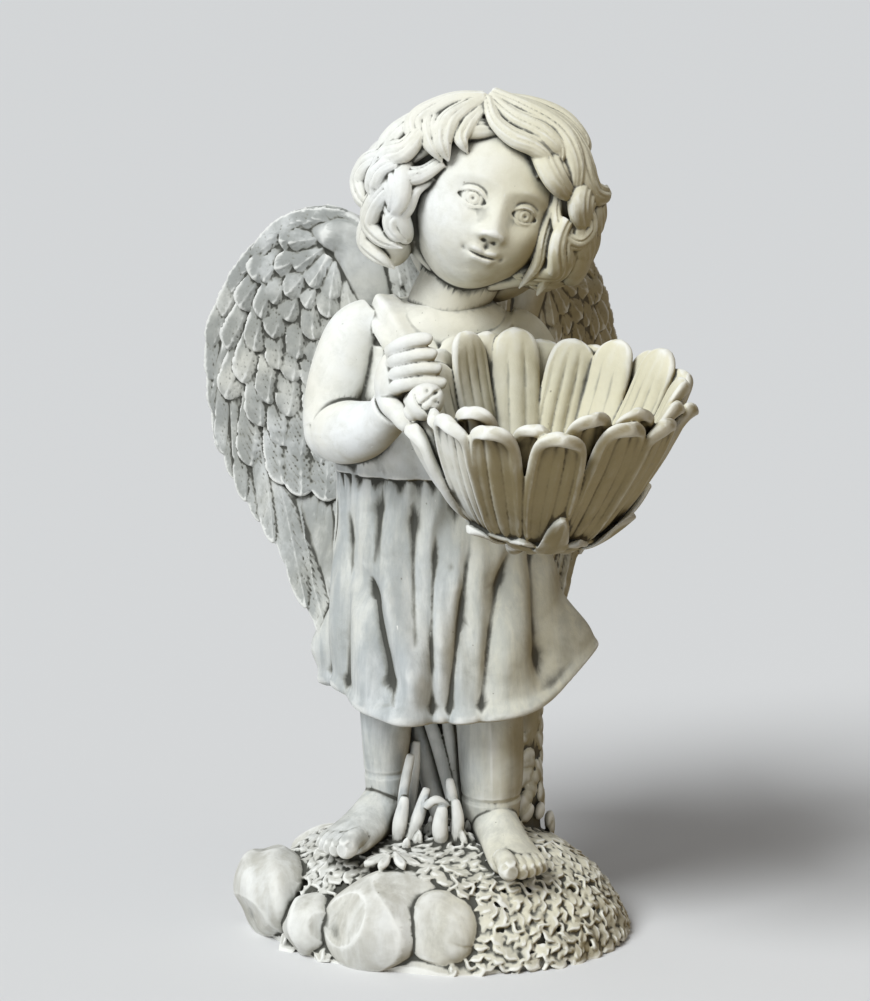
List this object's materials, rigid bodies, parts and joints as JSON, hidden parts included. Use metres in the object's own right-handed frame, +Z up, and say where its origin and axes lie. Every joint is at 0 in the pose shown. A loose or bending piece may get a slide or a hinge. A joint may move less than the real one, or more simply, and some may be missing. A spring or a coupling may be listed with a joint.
{
  "type": "angel sculpture",
  "caption": "Garden statue of a curly-haired winged child in a short dress, standing barefoot on a leafy stone mound and holding out a daisy-shaped bowl.",
  "frame": {"origin": "centre of the mound's flat underside", "axes": "+Z up, the figure faces -Y, its right hand and the full wing are on -X"},
  "size_m": [0.2494, 0.2965, 0.4288],
  "materials": {
    "cast_stone": "matt off-white cast stone with a grey-olive and brown wash in the hollows"
  },
  "bodies": {
    "root": {"angel_statue": "cast_stone"}
  },
  "joints": []
}
